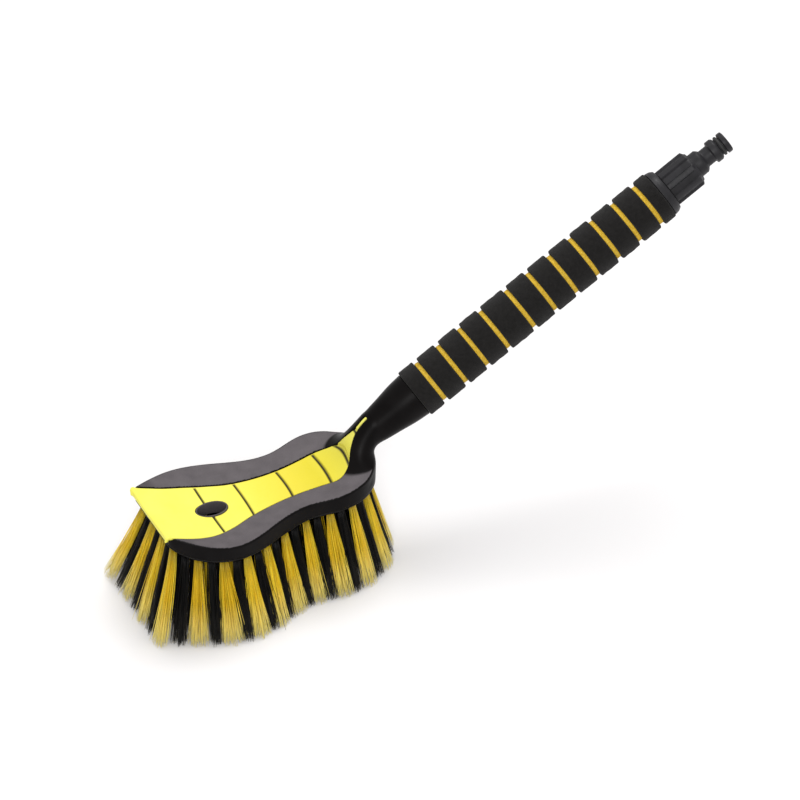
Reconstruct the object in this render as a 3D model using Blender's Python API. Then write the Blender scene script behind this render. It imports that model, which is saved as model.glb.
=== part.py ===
"""Flow-through car wash brush: hourglass head with a water chamber, foam grip and hose connector.

Frame: +X runs from the front of the head to its rear and on under the handle, +Z is up, and the
brush is symmetric about Y = 0. The origin is on the surface that the bristle tips stand on, under
the middle of the head. Sizes are in millimetres here and become metres when a mesh is made.
"""
import math

import bmesh
import bpy
from mathutils import Matrix, Vector

MM = 0.001
GAP = 0.3                    # clearance left between pieces that touch

# Head, seen from above
FRONT_X = -74.5
BULGE_X = -36.0
WAIST_X = 19.0
TAIL_X = 44.0
REAR_X = 78.0
FRONT_HALF = 27.9
BULGE_HALF = 44.6
WAIST_HALF = 30.1
TAIL_HALF = 34.4
MEAN_HALF = 37.0             # half-width at which an inset is exact

# Head, seen from the side: heights of the rim, of the middle of the top and of the underside
RIM_Z = ((-76, 73.8), (-52, 66.5), (-30, 63.6), (0, 64.6), (30, 67.3), (56, 70.8), (78, 70.6))
MIDDLE_Z = ((-76, 72.8), (-52, 64.0), (-33, 61.0), (-10, 61.6), (18, 64.0), (44, 67.0), (78, 69.5))
UNDER_Z = ((-76, 65.5), (-70, 60.8), (-60, 55.8), (-40, 53.0), (-15, 51.0), (5, 51.5), (25, 54.8),
           (50, 57.6), (78, 57.0))

# Head, inside
FLANGE_THICK = 1.6           # edge of the bristle block that shows below the shell
BLOCK_THICK = 3.0
SKIRT_INSET = 2.6
SEAL_WIDTH = 1.7
CHAMBER_INSET = 6.0
ROOF_THICK = 3.0
SPRAY_R = 1.5
SPRAY_X = (-60, -8, 4, 16, 28, 40, 52)
SPRAY_Y = 11.0

# Hanging hole
HOLE_X = -33.0
HOLE_HALF_X = 9.8
HOLE_HALF_Y = 6.2
HOLE_WALL = 1.0
HOLE_RIM_PROUD = 0.6
HOLE_COLLAR = 3.0            # height of the collar that the panel fits round
CHAMBER_BOSS = 2.2           # solid left round the hole, through the chamber
CUT_LOW = 40.0               # upright cutters run from below the head to above it
CUT_HIGH = 80.0

# Soft panel: the line of its middle, with the half-width there
PANEL_THICK = 1.4
PANEL_LIP_THICK = 2.8        # the panel turns down over the front edge of the head
PANEL_LIP_DEPTH = 1.4
PANEL_CLEAR = 8.0            # how far the recess's cutter reaches above the panel
PANEL_X = (-66, -55, -43, -33, -23, -12, 0, 12, 24, 34, 42, 47)
PANEL_HALF = ((-78, 28.9), (-72, 28.2), (-60, 28.0), (-43, 26.8), (-28, 22.8), (-14, 17.8), (4, 14.4),
              (20, 13.6), (34, 14.6), (46, 16.0), (50, 15.4))
PANEL_CLIMB = ((52.5, 69.2, 14.3), (57.9, 75.2, 10.2), (61.6, 82.9, 5.2), (67.2, 90.4, 1.5),
               (75.7, 96.9, 1.1))
PANEL_CROWN = 40.0           # where the panel climbs the neck it falls off by y squared over this

# Handle
HANDLE_TILT = math.radians(30)
HANDLE_START = (110.0, 0.0, 104.0)
NECK_RADII = ((0.0, 15.9), (-10.0, 15.0), (-20.0, 13.4), (-30.0, 11.9), (-38.0, 10.65))
NECK_FOOT = (((62.3, 83.5), (79.2, 73.8), 13.0), ((57.8, 75.4), (77.6, 69.5), 19.5),
             ((50.0, 66.2), (76.0, 61.5), 25.5))
TUBE_R = 11.0
TUBE_WALL = 1.5
TUBE_IN_NECK = 14.0
WATERWAY_R = 5.0
WATERWAY_END = -50.0
DROP_X = 65.0
DROP_FOOT = 61.5

# Grip
GRIP_END = 201.2
FOAM_R = 17.0
FOAM_EDGE = 1.2
RING_R = 14.7
RING_WIDTH = 3.1
RING_COUNT = 11
FIRST_RING = 13.2
RING_PITCH = 17.4
WIDE_AFTER = 4               # the foam segment after this ring is the long one
WIDE_EXTRA = 3.6
GRIP_SIDES = 20

# Hose end: G 1/2 thread, ribbed collar and quick-connect spigot
FLANGE_END = 206.9
THREAD_PITCH = 1.814
THREAD_END = 219.0
THREAD_R = 9.6
THREAD_DEPTH = 1.0
THREAD_CLEARANCE = 0.5
THREAD_ROWS = 4              # mesh rows for each turn of thread
FITTING_BORE = 6.0
PLUG_DEPTH = 18.0            # how far the end fitting reaches into the tube
THREAD_START = 2.0           # plain neck between a shoulder and its thread
WASHER_R = 9.2
WASHER_THICK = 1.9
CONNECTOR_SIDES = 32
RIB_COUNT = 8
RIB_HEIGHT = 1.5
BARREL_R = 11.3
BARREL_END = 228.2
SPIGOT = ((229.8, 8.35), (235.0, 8.35), (236.4, 7.2), (237.4, 6.0), (243.0, 6.0), (243.6, 7.8),
          (247.4, 7.8), (248.6, 6.9), (249.0, 5.8), (252.2, 5.8), (252.6, 7.3), (255.4, 7.3),
          (256.0, 6.6))              # outline of the spigot: distance along the handle, radius
SPIGOT_BORE = 4.6
ORING_AT = 250.6
ORING_GROOVE_R = 5.8
ORING_R = 0.9

# Bristles
FRONT_SPREAD = 26.0          # how far the tips stand out beyond the roots, at the front
REAR_SPREAD = 16.0
SIDE_SPREAD = ((-76, 22), (-36, 27), (12, 25), (44, 21), (78, 18))
OUTER_INSET = 2.5
INNER_INSET = 9.0
TUFTS = 48
SECTORS = 12
TUFT_SHIFT = 0.4             # share of a tuft from the middle of the front to the first tuft
TUFT_BULGE = 0.9
OUTER_TIP_Z = 2.5
INNER_CUTS = (-64.6, -46.5, -19.5, 8, 31, 51, 67)
HOLE_CLEARANCE = 2.0
ROOT_GAP = 0.6


# ---------------------------------------------------------------- small tools

def clear_scene():
    """Start from an empty scene."""
    for item in list(bpy.data.objects):
        bpy.data.objects.remove(item)


def material(name, colour, roughness):
    """A plain Principled material."""
    made = bpy.data.materials.new(name)
    made.use_nodes = True
    shader = made.node_tree.nodes["Principled BSDF"]
    shader.inputs["Base Color"].default_value = (*colour, 1.0)
    shader.inputs["Roughness"].default_value = roughness
    return made


def blend(x, knots):
    """Smooth curve through (x, value) knots, with flat ends."""
    if x <= knots[0][0]:
        return knots[0][1]
    if x >= knots[-1][0]:
        return knots[-1][1]
    i = max(k for k in range(len(knots) - 1) if knots[k][0] <= x)
    slopes = []
    for k in (i, i + 1):
        before = knots[max(k - 1, 0)]
        after = knots[min(k + 1, len(knots) - 1)]
        slopes.append((after[1] - before[1]) / (after[0] - before[0]))
    (x0, v0), (x1, v1) = knots[i], knots[i + 1]
    span = x1 - x0
    t = (x - x0) / span
    return ((2 * t**3 - 3 * t**2 + 1) * v0 + (t**3 - 2 * t**2 + t) * span * slopes[0]
            + (3 * t**2 - 2 * t**3) * v1 + (t**3 - t**2) * span * slopes[1])


def ease(t):
    """Half a cosine wave, from 0 to 1."""
    return (1 - math.cos(math.pi * t)) / 2


def make_object(name, points, faces, look, sharp_angle=35):
    """A mesh object from points in millimetres, with its normals facing out."""
    bm = bmesh.new()
    verts = [bm.verts.new(Vector(p) * MM) for p in points]
    for face in faces:
        bm.faces.new([verts[k] for k in face])
    bmesh.ops.recalc_face_normals(bm, faces=bm.faces)
    mesh = bpy.data.meshes.new(name)
    bm.to_mesh(mesh)
    bm.free()
    mesh.shade_smooth()
    mesh.set_sharp_from_angle(angle=math.radians(sharp_angle))
    made = bpy.data.objects.new(name, mesh)
    bpy.context.collection.objects.link(made)
    if look is None:
        made.hide_render = True
        made.display_type = "WIRE"
    else:
        mesh.materials.append(look)
    return made


def boolean(target, tool, operation):
    """Cut target with tool, or join tool to it."""
    modifier = target.modifiers.new(f"{operation.lower()} {tool.name}", "BOOLEAN")
    modifier.operation = operation
    modifier.object = tool
    modifier.solver = "EXACT"


def skin(name, loops, look, closed_chain=False):
    """A solid through equal loops of points: capped at its ends, or closed on itself."""
    count = len(loops[0])
    points = [p for loop in loops for p in loop]
    faces = []
    last = len(loops) if closed_chain else len(loops) - 1
    for i in range(last):
        here = i * count
        there = (i + 1) % len(loops) * count
        for k in range(count):
            after = (k + 1) % count
            faces.append((here + k, here + after, there + after, there + k))
    if not closed_chain:
        faces.append(tuple(range(count)))
        faces.append(tuple(range((len(loops) - 1) * count, len(loops) * count)))
    return make_object(name, points, faces, look)


# ---------------------------------------------------------------- head outline

def half_width(x):
    """Half-width of the head at x."""
    if x < BULGE_X:
        t = (x - FRONT_X) / (BULGE_X - FRONT_X)
        return FRONT_HALF + (BULGE_HALF - FRONT_HALF) * math.sin(math.pi / 2 * max(t, 0))
    if x < WAIST_X:
        return BULGE_HALF + (WAIST_HALF - BULGE_HALF) * ease((x - BULGE_X) / (WAIST_X - BULGE_X))
    if x < TAIL_X:
        return WAIST_HALF + (TAIL_HALF - WAIST_HALF) * ease((x - WAIST_X) / (TAIL_X - WAIST_X))
    t = min((x - TAIL_X) / (REAR_X - TAIL_X), 1)
    return TAIL_HALF * math.sqrt(1 - t * t)


def head_stations(inset, steps=9, rear_steps=7):
    """Places (x, half-width) along the head, closer together round the rear, inset all round."""
    places = []
    for a, b in ((FRONT_X, BULGE_X), (BULGE_X, WAIST_X)):
        places += [a + (b - a) * k / steps for k in range(steps)]
    places += [WAIST_X + (TAIL_X - WAIST_X) * k / 4 for k in range(4)]
    for k in range(rear_steps):
        angle = math.radians(83) * k / (rear_steps - 1)
        places.append(TAIL_X + (REAR_X - TAIL_X) * math.sin(angle))
    shrink = 1 - inset / REAR_X
    narrow = 1 - inset / MEAN_HALF
    return [(x * shrink, half_width(x) * narrow) for x in places]


def top_z(x, across):
    """Height of the dished top of the head: across is 0 in the middle and 1 at the rim."""
    middle = blend(x, MIDDLE_Z)
    return middle + (blend(x, RIM_Z) - middle) * across**2


def slab(name, inset, low, high, look, columns=(-1, -0.5, 0, 0.5, 1)):
    """A solid with the head's outline between two heights, each a function of x and across."""
    loops = []
    for x, half in head_stations(inset):
        reach = half / max(half_width(x), 1)
        upper = [(x, t * half, high(x, abs(t) * reach)) for t in columns]
        lower = [(x, t * half, low(x, abs(t) * reach)) for t in reversed(columns)]
        loops.append(upper + lower)
    return skin(name, loops, look)


def under(lift):
    """The underside of the head, raised by lift."""
    return lambda x, across: blend(x, UNDER_Z) + lift


def below_top(drop):
    """The top of the head, lowered by drop."""
    return lambda x, across: top_z(x, across) - drop


def oval(name, centre_x, half_x, half_y, low, high, look, sides=20):
    """An upright oval prism."""
    loops = []
    for z in (low, high):
        turns = [2 * math.pi * k / sides for k in range(sides)]
        loops.append([(centre_x + half_x * math.cos(a), half_y * math.sin(a), z) for a in turns])
    return skin(name, loops, look)


def hole_form(name, grow, low=CUT_LOW, high=CUT_HIGH):
    """A cutter or form round the hanging hole, grown by grow."""
    return oval(name, HOLE_X, HOLE_HALF_X + grow, HOLE_HALF_Y + grow, low, high, None)


# ---------------------------------------------------------------- handle axis

def on_handle(along, up=0.0, side=0.0):
    """A point given by its distance along the handle and its offsets square to it."""
    c, s = math.cos(HANDLE_TILT), math.sin(HANDLE_TILT)
    x0, y0, z0 = HANDLE_START
    return (x0 + along * c - up * s, y0 + side, z0 + along * s + up * c)


def turned(name, profile, look, sides=GRIP_SIDES, shape=None):
    """A ring about the handle's axis: profile is a closed outline of (along, radius) points.

    shape may return an extra radius for a profile index, distance along and angle.
    """
    loops = []
    for k in range(sides):
        angle = 2 * math.pi * k / sides
        loop = []
        for i, (along, radius) in enumerate(profile):
            r = radius + (shape(i, along, angle) if shape else 0)
            loop.append((r * math.cos(angle), r * math.sin(angle), along))
        loops.append(loop)
    made = skin(name, loops, look, closed_chain=True)
    lean = math.pi / 2 - HANDLE_TILT
    made.matrix_world = Matrix.Translation(Vector(HANDLE_START) * MM) @ Matrix.Rotation(lean, 4, "Y")
    return made


def rod(name, start, end, radius, sides=GRIP_SIDES):
    """A cutter: a plain cylinder along the handle's axis."""
    loops = []
    for along in (start, end):
        turns = [2 * math.pi * k / sides for k in range(sides)]
        loops.append([on_handle(along, radius * math.cos(a), radius * math.sin(a)) for a in turns])
    return skin(name, loops, None)


def thread_wave(along, angle):
    """Triangular thread profile, from -0.5 to 0.5, that advances one pitch in a turn."""
    phase = (along / THREAD_PITCH - angle / (2 * math.pi)) % 1
    return abs(2 * phase - 1) - 0.5


def thread_rows(end, radius):
    """Outline points along a thread, from the end fitting's shoulder to end."""
    start = FLANGE_END + THREAD_START
    rows = int((end - start) / THREAD_PITCH * THREAD_ROWS)
    return [(start + k * THREAD_PITCH / THREAD_ROWS, radius) for k in range(rows + 1)]


# ---------------------------------------------------------------- head pieces

def neck_loops(sides=20):
    """Cross-sections of the neck, from the foam grip down into the head."""
    turns = [2 * math.pi * k / sides for k in range(sides)]
    loops = []
    for along, radius in NECK_RADII:
        loops.append([on_handle(along, radius * math.cos(a), radius * math.sin(a)) for a in turns])
    for front, back, half in NECK_FOOT:
        middle = [(f + b) / 2 for f, b in zip(front, back)]
        reach = [(f - b) / 2 for f, b in zip(front, back)]
        loops.append([(middle[0] + reach[0] * math.cos(a), half * math.sin(a),
                       middle[1] + reach[1] * math.cos(a)) for a in turns])
    return loops


def panel_stations():
    """Places along the panel's middle line: x, z, half-width."""
    lip = (FRONT_X - GAP - PANEL_LIP_DEPTH, FRONT_X - GAP, FRONT_X + GAP)
    flat = [(x, blend(x, MIDDLE_Z), blend(x, PANEL_HALF)) for x in lip + PANEL_X]
    return flat + list(PANEL_CLIMB)


def panel_ribbon(name, look, grow, above, below):
    """The panel's shape, grown by grow at its edges, from below its surface to above it."""
    places = panel_stations()
    columns = (-1, -0.5, 0, 0.5, 1)
    loops = []
    for i, (x, z, half) in enumerate(places):
        x0, z0, _ = places[max(i - 1, 0)]
        x1, z1, _ = places[min(i + 1, len(places) - 1)]
        length = math.hypot(x1 - x0, z1 - z0)
        ahead = ((x1 - x0) / length, (z1 - z0) / length)
        lip = PANEL_LIP_THICK - PANEL_THICK if i < 2 else 0
        climbing = x > PANEL_CLIMB[0][0]
        shift = {0: -grow, 1: grow, len(places) - 1: grow}.get(i, 0)
        cx, cz = x + ahead[0] * shift, z + ahead[1] * shift
        upper, lower = [], []
        for t in columns:
            y = t * (half + grow)
            curve = -y * y / PANEL_CROWN if climbing else top_z(x, min(abs(y) / half_width(x), 1)) - z
            for side, offset in ((upper, above + curve), (lower, curve - below - lip)):
                side.append((cx - ahead[1] * offset, y, cz + ahead[0] * offset))
        loops.append(upper + lower[::-1])
    return skin(name, loops, look)


def make_head(looks):
    """Shell with its neck, panel, bristle block and chamber seal."""
    shell = slab("head_shell", 0, under(FLANGE_THICK + GAP), top_z, looks["black"])
    boolean(shell, skin("neck_form", neck_loops(), None), "UNION")
    boolean(shell, slab("block_pocket", SKIRT_INSET, under(-1), under(BLOCK_THICK + GAP), None),
            "DIFFERENCE")
    chamber = slab("chamber_form", CHAMBER_INSET, under(BLOCK_THICK), below_top(ROOF_THICK), None)
    boolean(chamber, hole_form("hole_boss_form", CHAMBER_BOSS), "DIFFERENCE")
    boolean(shell, chamber, "DIFFERENCE")
    boolean(shell, rod("tube_socket", -TUBE_IN_NECK, 5, TUBE_R + GAP), "DIFFERENCE")
    boolean(shell, rod("neck_waterway", WATERWAY_END, -TUBE_IN_NECK + 2, WATERWAY_R), "DIFFERENCE")
    drop = oval("waterway_drop", DROP_X, WATERWAY_R, WATERWAY_R, DROP_FOOT, CUT_HIGH, None, 12)
    boolean(shell, drop, "DIFFERENCE")
    boolean(shell, panel_ribbon("panel_recess", None, GAP, PANEL_CLEAR, PANEL_THICK + GAP), "DIFFERENCE")
    rim_top = blend(HOLE_X, MIDDLE_Z) + HOLE_RIM_PROUD
    boolean(shell, hole_form("hole_collar_form", HOLE_WALL, rim_top - HOLE_COLLAR, rim_top), "UNION")
    hole = hole_form("hanging_hole", 0)
    boolean(shell, hole, "DIFFERENCE")

    panel = panel_ribbon("soft_panel", looks["yellow_rubber"], 0, 0, PANEL_THICK)
    boolean(panel, hole_form("panel_hole", HOLE_WALL + GAP), "DIFFERENCE")

    block = slab("bristle_block", 0.4, under(0), under(FLANGE_THICK), looks["black"], (-1, 0, 1))
    plug_inset = SKIRT_INSET + SEAL_WIDTH + 2 * GAP
    plug = slab("block_plug_form", plug_inset, under(1), under(BLOCK_THICK), None, (-1, 0, 1))
    boolean(block, plug, "UNION")
    boolean(block, hole, "DIFFERENCE")
    for k, x in enumerate(SPRAY_X):
        for side in (-1, 1):
            spray = oval(f"spray_{k}_{side}", x, SPRAY_R, SPRAY_R, CUT_LOW, CUT_HIGH, None, 6)
            spray.location.y = side * SPRAY_Y * MM
            boolean(block, spray, "DIFFERENCE")
    make_seal(looks["rubber"])


def make_seal(look):
    """Flat rubber ring between the shell's skirt and the block's raised middle."""
    low, high = FLANGE_THICK + GAP, BLOCK_THICK
    corners = ((SKIRT_INSET + GAP, low), (SKIRT_INSET + GAP, high),
               (SKIRT_INSET + GAP + SEAL_WIDTH, high), (SKIRT_INSET + GAP + SEAL_WIDTH, low))
    rings = [head_stations(inset) for inset, _ in corners]
    count = len(rings[0])
    loops = []
    for side in (1, -1):
        order = range(count) if side == 1 else range(count - 1, -1, -1)
        for i in order:
            loops.append([(ring[i][0], side * ring[i][1], blend(ring[i][0], UNDER_Z) + lift)
                          for ring, (_, lift) in zip(rings, corners)])
    return skin("chamber_seal", loops, look, closed_chain=True)


# ---------------------------------------------------------------- grip

def ring_centres():
    """Distance along the handle of each yellow ring's middle."""
    return [FIRST_RING + k * RING_PITCH + (WIDE_EXTRA if k >= WIDE_AFTER else 0)
            for k in range(RING_COUNT)]


def make_grip(looks):
    """Foam segments with a recessed ring between each two."""
    bore = TUBE_R + GAP
    centres = ring_centres()
    half = RING_WIDTH / 2
    for k, centre in enumerate(centres):
        profile = ((centre - half, bore), (centre - half, RING_R), (centre + half, RING_R),
                   (centre + half, bore))
        turned(f"grip_ring_{k + 1:02d}", profile, looks["yellow_foam"])
    starts = [GAP] + [c + half + GAP for c in centres]
    ends = [c - half - GAP for c in centres] + [GRIP_END]
    for k, (a, b) in enumerate(zip(starts, ends)):
        profile = ((a, bore), (a, FOAM_R - FOAM_EDGE), (a + FOAM_EDGE, FOAM_R), (b - FOAM_EDGE, FOAM_R),
                   (b, FOAM_R - FOAM_EDGE), (b, bore))
        turned(f"grip_foam_{k + 1:02d}", profile, looks["foam"])


def make_tube(looks):
    """Inner tube that carries the water, and the ring that seals it in the neck."""
    start = -TUBE_IN_NECK + 2.4
    end = GRIP_END - 1
    inner = TUBE_R - TUBE_WALL
    turned("handle_tube", ((start, inner), (start, TUBE_R), (end, TUBE_R), (end, inner)), looks["tube"])
    seal = ((-TUBE_IN_NECK + GAP, inner - 1.5), (-TUBE_IN_NECK + GAP, TUBE_R - 0.4),
            (start - GAP, TUBE_R - 0.4), (start - GAP, inner - 1.5))
    turned("tube_seal", seal, looks["rubber"])


# ---------------------------------------------------------------- hose end

def make_end_fitting(looks):
    """Flanged plug in the tube's end, with the male hose thread."""
    plug_r = TUBE_R - TUBE_WALL - GAP
    plug_end = GRIP_END - PLUG_DEPTH
    thread = thread_rows(THREAD_END - 1, THREAD_R)
    root_r = THREAD_R - THREAD_DEPTH / 2
    outer = [(plug_end, plug_r - 1), (plug_end + 1, plug_r), (GRIP_END - 0.5, plug_r),
             (GRIP_END - 0.5, TUBE_R), (GRIP_END + GAP, TUBE_R), (GRIP_END + GAP, 16.2),
             (FLANGE_END - 2.4, 15.6), (FLANGE_END, 14.3), (FLANGE_END, root_r)]
    profile = outer + thread + [(THREAD_END, root_r), (THREAD_END, FITTING_BORE),
                                (plug_end, FITTING_BORE)]
    first = len(outer)

    def threaded(index, along, angle):
        on_thread = first <= index < first + len(thread)
        return THREAD_DEPTH * thread_wave(along, angle) if on_thread else 0

    turned("end_fitting", profile, looks["connector"], CONNECTOR_SIDES, threaded)


def make_hose_washer(looks):
    """Flat washer at the bottom of the connector's threaded socket."""
    start = THREAD_END + GAP
    end = start + WASHER_THICK
    profile = ((start, FITTING_BORE), (start, WASHER_R), (end, WASHER_R), (end, FITTING_BORE))
    turned("hose_washer", profile, looks["rubber"])


def make_connector(looks):
    """Ribbed screw-on collar with the quick-connect spigot, in one moulding, and its O-ring."""
    mouth = FLANGE_END + GAP
    floor = THREAD_END + WASHER_THICK + 2 * GAP
    inner_r = THREAD_R + THREAD_CLEARANCE
    barrel = [(mouth, BARREL_R - 0.5), (mouth, BARREL_R), (mouth + 1, BARREL_R), (BARREL_END, BARREL_R),
              (SPIGOT[0][0], BARREL_R - 1.1)]
    bore = [(SPIGOT[-1][0], SPIGOT_BORE), (floor, SPIGOT_BORE), (floor, inner_r)]
    outer = barrel + list(SPIGOT) + bore
    profile = outer + thread_rows(floor - 1, inner_r)[::-1]
    first = len(outer)

    def shape(index, along, angle):
        if index >= first:
            return THREAD_DEPTH * thread_wave(along, angle)
        ribbed = 1 <= index <= 3
        return RIB_HEIGHT * max(math.cos(RIB_COUNT * angle), 0) if ribbed else 0

    turned("quick_connector", profile, looks["connector"], CONNECTOR_SIDES, shape)
    groove = ORING_GROOVE_R + GAP
    ring = [(ORING_AT + ORING_R * math.cos(a), groove + ORING_R / 2 + ORING_R / 2 * math.sin(a))
            for a in [2 * math.pi * k / 6 for k in range(6)]]
    turned("spigot_oring", ring, looks["rubber"])


# ---------------------------------------------------------------- bristles

def outline_points(count, shift):
    """Points at equal steps round the head's outline, from shift steps past the front's middle."""
    side = [(FRONT_X, FRONT_HALF * k / 12) for k in range(12)]
    side += head_stations(0, 16, 24)
    side.append((REAR_X, 0))
    whole = side + [(x, -y) for x, y in side[-2:0:-1]] + [side[0]]
    lengths = [0.0]
    for a, b in zip(whole, whole[1:]):
        lengths.append(lengths[-1] + math.dist(a, b))
    points = []
    i = 0
    for k in range(count):
        target = lengths[-1] * (k + shift) / count
        while lengths[i + 1] < target:
            i += 1
        t = (target - lengths[i]) / (lengths[i + 1] - lengths[i])
        points.append(tuple(a + (b - a) * t for a, b in zip(whole[i], whole[i + 1])))
    return points


def inset_point(point, inset):
    """A point of the outline moved in towards the head's middle."""
    return (point[0] * (1 - inset / REAR_X), point[1] * (1 - inset / MEAN_HALF))


def spread(point, drop):
    """Where a filament rooted at point has gone when it has dropped that share of its length."""
    x, y = point
    reach = FRONT_SPREAD if x < 0 else REAR_SPREAD
    outward = min(y / max(half_width(x), 6), 1)
    return (x + drop * reach * (x / REAR_X) ** 3, y + drop * blend(x, SIDE_SPREAD) * outward)


def bristle_solid(name, pairs, tips, look):
    """A clump of filaments: pairs are points on its two long sides, in plan at the block."""
    loops = []
    for pair in pairs:
        loop = []
        for point, tip_z, drops in zip(pair, tips, ((0, 0.5, 1), (1, 0.5, 0))):
            top = blend(point[0], UNDER_Z) - ROOT_GAP
            for drop in drops:
                loop.append((*spread(point, drop), top + (tip_z - top) * drop))
        loops.append(loop)
    return skin(name, loops, look)


def make_outer_bristles(looks):
    """The outer row, in sectors of whole tufts, each tuft a bulge on the outside."""
    per_sector = TUFTS // SECTORS
    steps = TUFTS * 2
    outline = outline_points(steps, 2 * TUFT_SHIFT)
    for k in range(SECTORS):
        first = per_sector * (2 * k + 1)
        last = first + 2 * per_sector
        pairs = []
        for pick in range(first, last + 1):
            point = outline[pick % steps]
            if pick in (first, last):
                beside = outline[(pick + (1 if pick == first else -1)) % steps]
                share = GAP / math.dist(point, beside)
                point = tuple(a + (b - a) * share for a, b in zip(point, beside))
            valley = TUFT_BULGE * ((pick - first + 1) % 2)
            pairs.append((inset_point(point, OUTER_INSET + valley), inset_point(point, INNER_INSET - GAP)))
        bristle_solid(f"bristles_outer_{k + 1:02d}", pairs, (OUTER_TIP_Z, 0.5), looks["yellow_bristle"])


def make_inner_bristles(looks):
    """The inner field, in blocks from front to rear, parted round the hanging hole."""
    shrink = 1 - INNER_INSET / REAR_X
    narrow = 1 - INNER_INSET / MEAN_HALF
    for k, (a, b) in enumerate(zip(INNER_CUTS, INNER_CUTS[1:])):
        a, b = a + GAP, b - GAP
        edges = []
        for i in range(5):
            x = a + (b - a) * i / 4
            edges.append((x, half_width(x / shrink) * narrow - GAP))
        name = f"bristles_inner_{k + 1}"
        if a < HOLE_X < b:
            near = HOLE_HALF_Y + HOLE_CLEARANCE
            for side, sign in (("left", 1), ("right", -1)):
                pairs = [((x, sign * y), (x, sign * near)) for x, y in edges]
                bristle_solid(f"{name}_{side}", pairs, (0, 0), looks["black_bristle"])
        else:
            pairs = [((x, y), (x, -y)) for x, y in edges]
            bristle_solid(name, pairs, (0, 0), looks["black_bristle"])


def main():
    clear_scene()
    looks = {
        "black": material("black_plastic", (0.016, 0.015, 0.015), 0.42),
        "yellow_rubber": material("yellow_rubber", (0.93, 0.88, 0.10), 0.55),
        "rubber": material("seal_rubber", (0.02, 0.02, 0.02), 0.6),
        "foam": material("grip_foam", (0.018, 0.017, 0.018), 0.9),
        "yellow_foam": material("ring_foam", (0.68, 0.46, 0.06), 0.8),
        "tube": material("tube_plastic", (0.05, 0.05, 0.05), 0.5),
        "connector": material("connector_plastic", (0.03, 0.029, 0.031), 0.45),
        "yellow_bristle": material("yellow_bristle", (0.72, 0.48, 0.03), 0.45),
        "black_bristle": material("black_bristle", (0.01, 0.01, 0.01), 0.4),
    }
    make_head(looks)
    make_grip(looks)
    make_tube(looks)
    make_end_fitting(looks)
    make_hose_washer(looks)
    make_connector(looks)
    make_outer_bristles(looks)
    make_inner_bristles(looks)


main()
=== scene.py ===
"""Flow-through car wash brush: the visible surface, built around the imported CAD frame.

Same frame as the CAD: +X runs from the front of the head to its rear and on under the handle, +Z is
up, Y = 0 is the plane of symmetry, and the bristle tips stand on Z = 0. Sizes are in millimetres
here and become metres when a mesh is made.
"""
import math

import bpy
import numpy as np
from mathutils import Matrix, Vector


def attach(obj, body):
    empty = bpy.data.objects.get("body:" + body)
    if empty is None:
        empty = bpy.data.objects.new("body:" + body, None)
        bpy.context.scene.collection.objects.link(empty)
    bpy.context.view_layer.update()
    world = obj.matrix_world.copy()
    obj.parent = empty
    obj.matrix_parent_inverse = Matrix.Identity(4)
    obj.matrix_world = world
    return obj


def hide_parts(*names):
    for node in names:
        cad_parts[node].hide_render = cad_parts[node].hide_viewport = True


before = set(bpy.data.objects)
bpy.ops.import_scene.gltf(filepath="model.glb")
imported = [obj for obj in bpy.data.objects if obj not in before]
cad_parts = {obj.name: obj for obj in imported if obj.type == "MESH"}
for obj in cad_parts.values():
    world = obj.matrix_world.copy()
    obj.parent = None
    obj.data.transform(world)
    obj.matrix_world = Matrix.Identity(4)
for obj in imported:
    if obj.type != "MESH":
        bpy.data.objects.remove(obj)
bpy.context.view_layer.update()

MM = 0.001
GAP = 0.3

# Camera: a long lens from the front left of the head
CAMERA_PLACE = (-0.8954, -2.0099, 1.8237)
CAMERA_AZIMUTH = math.radians(-26.34)
CAMERA_ELEVATION = math.radians(37.5)
CAMERA_LENS = 200.0

# Head outline, as in the CAD
FRONT_X = -74.5
BULGE_X = -36.0
WAIST_X = 19.0
TAIL_X = 44.0
REAR_X = 78.0
FRONT_HALF = 27.9
BULGE_HALF = 44.6
WAIST_HALF = 30.1
TAIL_HALF = 34.4
MEAN_HALF = 37.0
RIM_Z = ((-76, 73.8), (-52, 66.5), (-30, 63.6), (0, 64.6), (30, 67.3), (56, 70.8), (78, 70.6))
MIDDLE_Z = ((-76, 72.8), (-52, 64.0), (-33, 61.0), (-10, 61.6), (18, 64.0), (44, 67.0), (78, 69.5))
UNDER_Z = ((-76, 65.5), (-70, 60.8), (-60, 55.8), (-40, 53.0), (-15, 51.0), (5, 51.5), (25, 54.8),
           (50, 57.6), (78, 57.0))

# Head details
FLANGE_THICK = 1.6
BLOCK_THICK = 3.0
BLOCK_INSET = 0.4
SKIRT_INSET = 2.6
SEAL_WIDTH = 1.7
CORNER_ROUND = 3.0  # blend between the front face and the sides
RIM_ROUND = 1.5  # blend between the top and the sides
EDGE_ROUND = 0.5  # blend on the small edges
HOLE_X = -33.0
HOLE_HALF_X = 9.8
HOLE_HALF_Y = 6.2
HOLE_WALL = 1.0
HOLE_RIM_PROUD = 0.6
HOLE_RIM_FINISH_SHEEN = 0.75  # share of the rougher finish and of the painted sheen that the hole's rim has
HOLE_IN_BLOCK = 0.9  # how much wider the hole is in the block
HOLE_CUT_Z = (55, 70)  # heights that the cut through the panel runs between
HOLE_TURNS = [2 * math.pi * k / 96 for k in range(96)]
SPRAY_R = 1.5
SPRAY_X = (-60, -8, 4, 16, 28, 40, 52)
SPRAY_Y = 11.0
SHELL_BOX = ((-78.3, -46.5, 49.5), (118.5, 46.5, 122.5))
SHELL_STEP = 0.6  # grid that the shell's surface is found on
BLOCK_BOX = ((-77.6, -46.4, 48.6), (80.6, 46.4, 71.0))
BLOCK_STEP = 0.8
FINISH_SHEEN_LEVEL = 0.90  # the rougher finish and the painted sheen, a lighter colour for the overhead light's reflection, start where the top is this level, as a cosine
FINISH_SHEEN_FADE = 0.04
FINISH_SHEEN_DEPTH = 0.05  # and it is only on points this near to the top's own surface

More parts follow.
